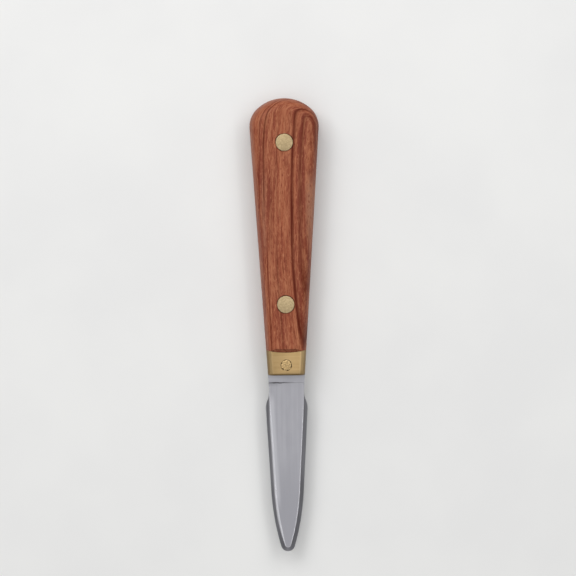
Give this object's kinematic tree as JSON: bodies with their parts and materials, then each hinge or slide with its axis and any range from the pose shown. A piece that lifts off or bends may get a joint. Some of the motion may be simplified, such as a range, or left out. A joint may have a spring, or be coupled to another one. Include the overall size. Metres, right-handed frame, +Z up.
{
  "type": "oyster knife",
  "caption": "Fixed-blade oyster knife with a short blunt spear blade on a full tang, pinned brass bolsters and a tapered, rounded wooden handle held by flush brass rivets.",
  "frame": {"origin": "on the resting plane, under the middle of the overall length and width", "axes": "+Y along the knife from the tip to the butt, +Z up out of the front face, +X to the right seen from the front with the butt up"},
  "size_m": [0.0256, 0.167, 0.0145],
  "materials": {
    "blade_steel": "satin-ground stainless steel with brighter arrises along the edge bevels",
    "handle_wood": "oiled reddish-brown hardwood with long dark veins and fine open pores, satin",
    "bolster_brass": "brass, belt-finished across its width",
    "rivet_brass": "brass, sanded flush with the wood, matt"
  },
  "bodies": {
    "root": {"blade": "blade_steel", "front_scale": "handle_wood", "back_scale": "handle_wood", "front_bolster": "bolster_brass", "back_bolster": "bolster_brass", "bolster_pin": "bolster_brass", "butt_rivet_post": "rivet_brass", "butt_rivet_barrel": "rivet_brass", "neck_rivet_post": "rivet_brass", "neck_rivet_barrel": "rivet_brass"}
  },
  "joints": []
}
